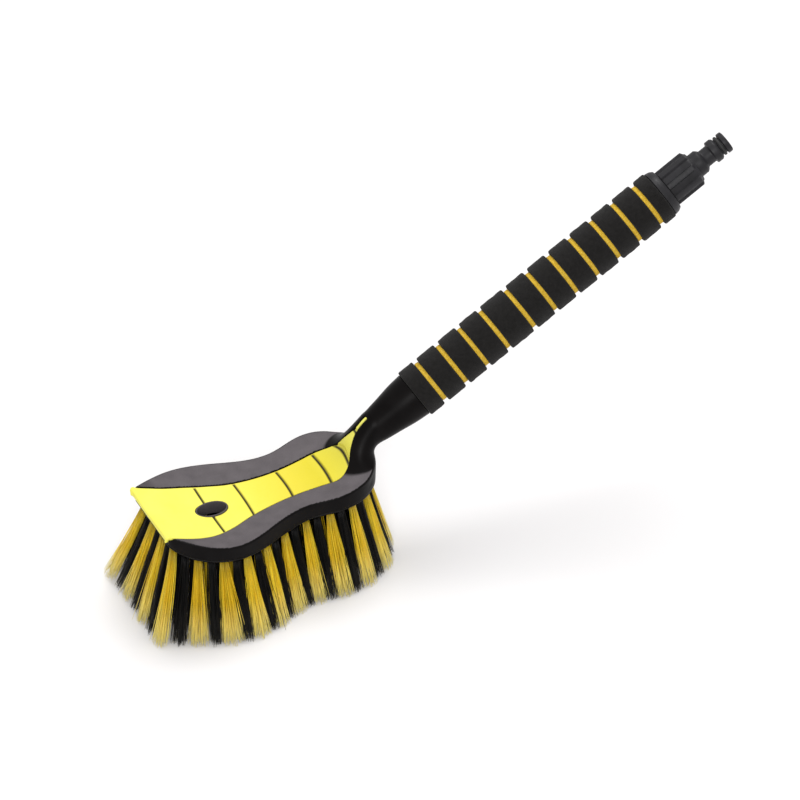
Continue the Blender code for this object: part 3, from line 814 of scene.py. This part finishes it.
def make_shell(look):
    """Head shell with its neck, and the rim of the hanging hole."""
    points, faces = surface_of(shell_field, *SHELL_BOX, SHELL_STEP)
    shell = add_piece("head_shell_moulding", points, faces, look, ["head_shell"])
    # mask of how far the top faces up: it gives the rougher finish and the painted sheen
    slope = slope_of(upper_field, points)
    facing = slope[:, 2] / np.linalg.norm(slope, axis=1)
    on_top = np.abs(upper_field(*points.T)) < FINISH_SHEEN_DEPTH
    point_values(shell, "finish_and_sheen", on_top * np.clip((facing - FINISH_SHEEN_LEVEL) / FINISH_SHEEN_FADE, 0, 1))

    top = float(blend(HOLE_X, MIDDLE_Z)) + HOLE_RIM_PROUD
    foot = float(blend(HOLE_X, UNDER_Z)) + GAP
    outline = rounded(((foot, 0, 0.1), (foot, HOLE_WALL, 0.1), (top, HOLE_WALL, 0.5), (top, 0, 0.5)))
    loops = [hole_point(angle, grow, z) for angle in HOLE_TURNS for z, grow in outline]
    faces = skin_faces(len(HOLE_TURNS), len(outline), True)
    rim = add_piece("hanging_hole_rim", loops, faces, look)
    # the hole's rim takes part of the rougher finish and of the painted sheen
    point_values(rim, "finish_and_sheen", [HOLE_RIM_FINISH_SHEEN] * len(loops))


def panel_spine(step=0.4):
    """Points up the middle of the panel's outer face and the outward direction at each."""
    top = float(top_z(np.array(LIP_FACE_X + LIP_ROUND), 0))
    rows = []
    for rise in np.arange(0, LIP_DROP - LIP_ROUND, step):
        rows.append((LIP_FACE_X, top - LIP_DROP + rise, -1.0, 0.0))
    for angle in np.linspace(0, math.pi / 2, 8)[:-1]:
        away_x, away_z = -math.cos(angle), math.sin(angle)
        x, z = LIP_FACE_X + LIP_ROUND * (1 + away_x), top - LIP_ROUND * (1 - away_z)
        rows.append((x, z, away_x, away_z))
    point = np.array([[LIP_FACE_X + LIP_ROUND, 0.0, top]])
    while point[0, 0] < PANEL_TIP_X:
        slope = slope_of(upper_field, point)[0]
        away = np.array((slope[0], 0, slope[2])) / math.hypot(slope[0], slope[2])
        rows.append((point[0, 0], point[0, 2], away[0], away[2]))
        point = point + step * np.array((away[2], 0, -away[0]))
        for _ in range(2):
            slope = slope_of(upper_field, point)[0]
            point = point - slope * upper_field(*point.T) / (slope * slope).sum()
    return np.array(rows)


def groove_strength(x, y, spine):
    """1 in the middle of a groove of the panel, falling to 0 at its edges."""
    length = length_along(spine[:, :2])
    flat = spine[:, 0] > LIP_FACE_X + 0.1
    half = blend(x, PANEL_EDGE)
    share = np.clip(np.abs(y) / half, 0, 1)
    found = np.zeros(np.shape(x))
    spine_x, spine_length = spine[flat, 0], length[flat]
    for at, slant, bow, short, width in GROOVES:
        line = at + slant * y + bow * (1 - share**2)
        apart = np.abs(np.interp(x, spine_x, spine_length) - np.interp(line, spine_x, spine_length))
        end = np.where(y > 0, short + GROOVE_FAR_SHORT, short) - (half - np.abs(y))
        found = np.maximum(found, np.clip(1.5 - 2 * np.maximum(apart, end) / width, 0, 1))
    return np.where(x > LIP_FACE_X + LIP_ROUND + 1, found, 0)


def make_panel(look):
    """Soft panel: a rounded sheet that follows the head and the neck, with a lip over the front."""
    spine = panel_spine()
    half = blend(spine[:, 0], PANEL_EDGE) - PANEL_SHY
    to_tip = np.clip((PANEL_TIP_X - spine[:, 0]) / PANEL_TIP_ROUND, 0, 1)
    half = half * quarter_round(to_tip) + PANEL_TIP_HALF
    to_face = np.clip((spine[:, 0] - LIP_FACE_X) / LIP_CORNER, 0, 1)
    half -= LIP_CORNER * (1 - quarter_round(to_face))
    edge = np.array((0, 0.05, 0.18, 0.38, PANEL_ROUND))
    inner = np.linspace(-1, 1, 81)
    rows = []
    for reach in half:
        near = edge * min(1, reach / PANEL_NARROW)
        rows.append(np.concatenate([-reach + near, inner[1:-1] * (reach - near[-1]), reach - near[::-1]]))
    y = np.array(rows)
    from_edge = np.clip((half[:, None] - np.abs(y)) / PANEL_ROUND, 0, 1)
    spine_x, spine_z, away_x, away_z = (column[:, None] for column in spine.T)
    height = np.zeros(y.shape)
    on_top = spine[:, 0] > LIP_FACE_X + LIP_ROUND - 0.01
    damping = 0.9  # each step is short, because the field is only nearly a distance
    for _ in range(12):
        x, z = spine_x + away_x * height, spine_z + away_z * height
        value = upper_field(x[on_top].ravel(), y[on_top].ravel(), z[on_top].ravel())
        height[on_top] -= damping * value.reshape(height[on_top].shape)
    front = np.argmax(on_top)
    height[:front] = height[front] * away_z[:front] ** 2
    x, z = spine_x + away_x * height, spine_z + away_z * height
    groove = groove_strength(x, y, spine)
    by_lip = np.exp(-(((spine_x - LIP_FACE_X) / NUB_LENGTH) ** 2))
    nub = by_lip * np.clip((np.abs(y) - NUB_START_Y) / NUB_RISE, 0, 1)
    rounding = PANEL_ROUND * (1 - quarter_round(from_edge))
    outer = height - PANEL_SUNK + NUB_HEIGHT * nub - rounding - GROOVE_DEPTH * groove
    under = height - PANEL_SUNK - PANEL_THICK
    upper = np.stack([spine_x + away_x * outer, y, spine_z + away_z * outer], axis=-1)
    lower = np.stack([spine_x + away_x * under, y, spine_z + away_z * under], axis=-1)[:, ::-1]
    loops = np.concatenate([upper, lower], axis=1)
    faces = skin_faces(len(loops), loops.shape[1], False)
    panel = add_piece("soft_panel_skin", loops.reshape(-1, 3), faces, look, ["soft_panel"])
    cut_hole(panel)
    points = np.array([v.co for v in panel.data.vertices]) / MM
    point_values(panel, "groove", groove_strength(points[:, 0], points[:, 1], spine))
    point_values(panel, "rearward", (points[:, 0] - FRONT_X) / (PANEL_TIP_X - FRONT_X))


def cut_hole(panel):
    """Cuts the hanging hole out of the panel."""
    loops = [hole_point(angle, HOLE_WALL + GAP, z) for z in HOLE_CUT_Z for angle in HOLE_TURNS]
    faces = skin_faces(len(HOLE_CUT_Z), len(HOLE_TURNS), False)
    mesh = bpy.data.meshes.new("hole_cutter")
    mesh.from_pydata([tuple(c * MM for c in p) for p in loops], [], faces)
    cutter = add_object("hole_cutter", mesh)
    modifier = panel.modifiers.new("hole", "BOOLEAN")
    modifier.operation = "DIFFERENCE"
    modifier.object = cutter
    modifier.solver = "EXACT"
    cut = bpy.data.meshes.new_from_object(panel.evaluated_get(bpy.context.evaluated_depsgraph_get()))
    panel.modifiers.clear()
    panel.data = cut
    bpy.data.objects.remove(cutter)


def make_block(look):
    """The plate that holds the bristles."""
    points, faces = surface_of(block_field, *BLOCK_BOX, BLOCK_STEP)
    add_piece("bristle_block_plate", points, faces, look, ["bristle_block"])


# ------------ grip and hose end

def make_grip(foam, amber):
    """Foam segments with rounded edges, and a recessed ring between each two."""
    bore = TUBE_R + GAP
    half = RING_WIDTH / 2
    centres = [FIRST_RING + k * RING_PITCH + (WIDE_EXTRA if k >= WIDE_AFTER else 0)
               for k in range(RING_COUNT)]

    def uneven(along, radius, angle):
        """Slight waves of the soft surface, only on the outside."""
        wave = np.sin(3 * angle + along / 2.3) + np.sin(5 * angle - along / 1.4) + np.sin(11 * angle + along)
        return FOAM_WAVE * wave * np.clip((radius - bore - 0.5) / 2, 0, 1)

    for k, centre in enumerate(centres):
        a, b = centre - half, centre + half
        outline = rounded(((a, bore, 0.1), (a, RING_R, 0.5), (b, RING_R, 0.5), (b, bore, 0.1)))
        name = f"grip_ring_{k + 1:02d}"
        ring = turned(name + "_foam", finer(outline, FOAM_STEP), amber, [name], shape=uneven)
    starts = [FOAM_START] + [c + half + FOAM_GAP for c in centres]
    ends = [c - half - FOAM_GAP for c in centres] + [GRIP_END]
    for k, (a, b) in enumerate(zip(starts, ends)):
        outline = rounded(((a, bore, 0.1), (a, FOAM_R, FOAM_EDGE), (b, FOAM_R, FOAM_EDGE), (b, bore, 0.1)), 7)
        name = f"grip_foam_{k + 1:02d}"
        segment = turned(name + "_sleeve", finer(outline, FOAM_STEP), foam, [name], shape=uneven)


def make_end_fitting(look):
    """Flanged plug that closes the grip, with its hose thread inside the connector."""
    plug_start = GRIP_END - PLUG_DEPTH
    shoulder = GRIP_END - SHOULDER_DEPTH
    flange_start = GRIP_END + GAP
    thread_start = FLANGE_END + THREAD_START
    outline = rounded(((plug_start, FITTING_BORE, 0.2), (plug_start, PLUG_R, 0.5), (shoulder, PLUG_R, 0.1),
                       (shoulder, TUBE_R, 0.1), (flange_start, TUBE_R, 0.1), (flange_start, FLANGE_R, 0.5),
                       (FLANGE_END - FLANGE_RIM, FLANGE_RIM_R, 0.9), (FLANGE_END, FLANGE_FACE_R, 0.7),
                       (FLANGE_END, THREAD_ROOT_R, 0.3), (thread_start, THREAD_ROOT_R, 0.3),
                       (thread_start + 0.4, THREAD_R, 0.1), (THREAD_END - 1, THREAD_R, 0.2),
                       (THREAD_END, THREAD_ROOT_R, 0.3), (THREAD_END, FITTING_BORE, 0.3)))

    def thread(along, radius, angle):
        """A triangular thread that advances one pitch in a turn."""
        phase = (along / THREAD_PITCH + angle / (2 * np.pi) - 0.5) % 1
        starting = np.clip((along - thread_start) / THREAD_FADE, 0, 1)
        ending = np.clip((THREAD_END - 0.3 - along) / THREAD_FADE, 0, 1)
        on_thread = starting * ending
        return THREAD_DEPTH * (np.abs(2 * phase - 1) - 0.5) * on_thread * (radius > THREAD_R - 0.3)

    turned("end_fitting_flange", finer(outline, THREAD_STEP), look, ["end_fitting"],
           shape=thread, sharp_angle=40)


def make_connector(look, rubber):
    """Ribbed screw-on collar with its quick-connect spigot, and the O-ring."""
    mouth = FLANGE_END + GAP
    corners = ((mouth, SOCKET_R, 0.2), (mouth, BARREL_R, 0.4), (BARREL_END, BARREL_R, 0.7), *SPIGOT,
               (SPIGOT[-1][0], SPIGOT_BORE, 0.4), (SOCKET_FLOOR, SPIGOT_BORE, 0.2),
               (SOCKET_FLOOR, SOCKET_R, 0.2))

    def ribs(along, radius, angle):
        """Flat-topped ribs with rounded flanks, only on the barrel's outside."""
        wing = np.clip(1.5 * np.cos(RIB_COUNT * angle) + 0.1, 0, 1)
        wing = wing * wing * (3 - 2 * wing)
        off_end = np.clip((BARREL_END + RIB_FADE - along) / (2 * RIB_FADE), 0, 1)
        on_barrel = np.clip((radius - RIB_FOOT_R) / 0.5, 0, 1) * off_end
        return RIB_HEIGHT * wing * on_barrel

    outline = finer(rounded(corners), 1.2)
    turned("quick_connector_body", outline, look, ["quick_connector"], "connector",
           256, ribs, 40)
    turns = np.arange(16) * 2 * np.pi / 16
    ring = np.stack([ORING_AT + ORING_HALF_LONG * np.cos(turns), ORING_R + ORING_HALF_THICK * np.sin(turns)],
                    axis=1)
    turned("spigot_oring_rubber", ring, rubber, ["spigot_oring"], "connector")


# ------------ bristles

def outline_points(count, shift):
    """Points at equal steps round the head's outline, from shift steps past the front's middle."""
    front = [(FRONT_X, y) for y in np.linspace(0, FRONT_HALF, 30)[:-1]]
    xs = np.concatenate([np.linspace(FRONT_X, TAIL_X, 260)[:-1],
                         TAIL_X + (REAR_X - TAIL_X) * np.sin(np.linspace(0, np.pi / 2, 120))])
    side = np.concatenate([front, np.stack([xs, half_width(xs)], axis=1)])
    whole = np.concatenate([side, side[-2::-1] * (1, -1)])
    length = length_along(whole)
    at = length[-1] * (np.arange(count) + shift) / count
    return np.stack([np.interp(at, length, whole[:, 0]), np.interp(at, length, whole[:, 1])], axis=1)


def spread(x, y):
    """How far a filament rooted at x, y leans outwards by its tip."""
    reach = np.where(x < 0, FRONT_SPREAD, REAR_SPREAD)
    outward = np.clip(y / np.maximum(half_width(x), 6), -1, 1)
    return reach * (x / REAR_X) ** 3, blend(x, SIDE_SPREAD) * outward


def grow_tuft(rng, root, row_direction, filaments, fan_wide, ragged):
    """Filaments of one tuft: their centre lines, from the root to the tip, and a shade for each."""
    angle = rng.uniform(0, 2 * np.pi, filaments)
    size = np.sqrt(rng.uniform(0, 1, filaments))
    u, v = size * np.cos(angle), size * np.sin(angle)
    along_row = np.array(row_direction)
    outwards = np.array((row_direction[1], -row_direction[0]))
    lean = np.array([float(s) for s in spread(root[0], root[1])])
    start = root + TUFT_R * (u[:, None] * along_row + v[:, None] * outwards)
    fan = 1 + FAN_SCATTER * rng.standard_normal(filaments)
    end = root + lean + (fan_wide * u * fan)[:, None] * along_row + (FAN_DEEP * v * fan)[:, None] * outwards
    end += rng.normal(0, TIP_SCATTER, end.shape)
    stray = rng.uniform(0, 1, filaments) < STRAY_SHARE
    end[stray] += rng.normal(0, STRAY_SCATTER, (stray.sum(), 2))
    top = blend(start[:, 0], UNDER_Z) + ROOT_DEPTH
    tip = rng.uniform(0.2, 1.8, filaments) + (1.6 + 1.6 * v if ragged else 0.8)
    tip = np.clip(tip, 0.2, None)
    share = np.linspace(0, 1, FILAMENT_POINTS)
    sway = rng.normal(0, SWAY, (filaments, 2))
    lines = np.zeros((filaments, len(share), 3))
    for k, t in enumerate(share):
        lines[:, k, :2] = start + (end - start) * t**FLARE + sway * math.sin(math.pi * t)
        lines[:, k, 2] = top + (tip - top) * t
    return lines, rng.uniform(0, 1, filaments)


def filament_mesh(lines, sides=3):
    """Tapered three-sided filaments about their centre lines: points, faces and share along."""
    count, rows = lines.shape[:2]
    heading = lines[:, -1] - lines[:, 0]
    heading /= np.linalg.norm(heading, axis=1)[:, None]
    across = np.cross(heading, (0.0, 1.0, 0.0))
    across /= np.linalg.norm(across, axis=1)[:, None]
    other = np.cross(heading, across)
    share = np.linspace(0, 1, rows)
    near_tip = np.clip((share - 0.85) / 0.15, 0, 1)
    radius = FILAMENT_R * (1 - 0.5 * near_tip)
    turns = 2 * np.pi * np.arange(sides) / sides
    ring = np.cos(turns)[None, :, None] * across[:, None] + np.sin(turns)[None, :, None] * other[:, None]
    points = lines[:, :, None] + radius[None, :, None, None] * ring[:, None]
    *quads, root_end, tip_end = skin_faces(rows, sides, False)
    first = np.arange(count)[:, None, None] * rows * sides
    quads = (first + np.array(quads)[None]).reshape(-1, 4)
    ends = (first + np.array([root_end, tip_end])[None]).reshape(-1, sides)
    along = np.broadcast_to(share[None, :, None], (count, rows, sides)).ravel()
    return points.reshape(-1, 3), quads.tolist() + ends.tolist(), along


def add_bristles(node, colour, tufts, look):
    """One colour's filaments of a CAD bristle node."""
    lines = np.concatenate([t[0] for t in tufts])
    shades = np.concatenate([t[1] for t in tufts])
    points, faces, along = filament_mesh(lines)
    piece = add_piece(f"{node}_{colour}", points, faces, look, [node])
    point_values(piece, "along", along)
    point_values(piece, "strand", np.repeat(shades, len(points) // len(shades)))


def make_bristles(looks):
    """The outer row, tufts of alternate colours, and the inner field."""
    rng = np.random.default_rng(SEED)
    # two outline points for each tuft, so that every tuft has one on either side of it
    outline = outline_points(TUFTS * 2, 2 * TUFT_SHIFT)
    per_sector = TUFTS // SECTORS
    for k in range(SECTORS):
        found = {"yellow": [], "black": []}
        for j in range(per_sector):
            pick = per_sector * (2 * k + 1) + 2 * j + 1
            x, y = outline[pick % (2 * TUFTS)]
            ahead, behind = outline[(pick + 1) % (2 * TUFTS)], outline[(pick - 1) % (2 * TUFTS)]
            direction = (ahead - behind) / np.linalg.norm(ahead - behind)
            colour = "black" if j % 2 else "yellow"
            inset = OUTER_ROW_INSET + (BLACK_INSET if colour == "black" else 0)
            root = np.array((x * (1 - inset / REAR_X), y * (1 - inset / MEAN_HALF)))
            fan = (FAN_YELLOW if colour == "yellow" else FAN_BLACK) * rng.uniform(0.9, 1.1)
            found[colour].append(grow_tuft(rng, root, direction, OUTER_FILAMENTS, fan, colour == "yellow"))
        for colour, tufts in found.items():
            add_bristles(f"bristles_outer_{k + 1:02d}", colour, tufts, looks[colour])

    fields = {}
    rows = np.arange(-9, 10)
    for i in range(-12, 13):
        for j in rows:
            x = (i + 0.5 * (j % 2)) * INNER_PITCH
            y = j * INNER_PITCH * INNER_ROW
            if side_field(np.array(x), np.array(float(y))) > -INNER_INSET:
                continue
            if not INNER_CUTS[0] + INNER_END < x < INNER_CUTS[-1] - INNER_END:
                continue
            if hole_field(x, y, INNER_HOLE) < 0:
                continue
            if any(math.hypot(x - at, abs(y) - SPRAY_Y) < TUFT_R + SPRAY_R for at in SPRAY_X):
                continue
            part = sum(x > cut for cut in INNER_CUTS[1:-1]) + 1
            node = f"bristles_inner_{part}"
            if part == 2:
                node += "_left" if y > 0 else "_right"
            colour = "yellow" if (i + 2 * j) % 4 == 0 else "black"
            fields.setdefault((node, colour), []).append(
                grow_tuft(rng, np.array((x, y)), (0.0, 1.0), INNER_FILAMENTS, FAN_INNER, False))
    for (node, colour), tufts in fields.items():
        add_bristles(node, colour, tufts, looks[colour])


# ------------ the whole brush

def dress_hidden_nodes(tube, rubber):
    """Materials for the CAD nodes that stay: the tube and the seals inside."""
    for name, look in (("handle_tube", tube), ("tube_seal", rubber), ("chamber_seal", rubber),
                       ("hose_washer", rubber)):
        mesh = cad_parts[name].data
        mesh.materials.clear()
        mesh.materials.append(look)


make_stage()
shell_plastic = shell_look()
seal_rubber = moulded_look("seal_rubber_black", (0.012, 0.012, 0.012), (0.02, 0.02, 0.02), 0.6)
connector_plastic = moulded_look("connector_plastic_grey", (0.011, 0.0106, 0.012), (0.019, 0.0184, 0.021),
                                 0.42, 0.25)
make_shell(shell_plastic)
make_panel(panel_look())
make_block(block_look())
make_grip(foam_look(), ring_look())
make_end_fitting(connector_plastic)
make_connector(connector_plastic, seal_rubber)
make_bristles({
    "yellow": bristle_look("bristle_yellow", ((0.82, 0.52, 0.010), (0.96, 0.68, 0.022), (0.98, 0.78, 0.06)),
                           (0.97, 0.88, 0.34), 0.8, 0.3),
    "black": bristle_look("bristle_black", ((0.002, 0.002, 0.002), (0.004, 0.004, 0.004),
                                            (0.009, 0.0085, 0.008)), (0.03, 0.029, 0.027), 0.5, 0.16),
})
tube_plastic = moulded_look("tube_plastic_black", (0.014, 0.014, 0.014), (0.022, 0.022, 0.022), 0.5)
dress_hidden_nodes(tube_plastic, seal_rubber)
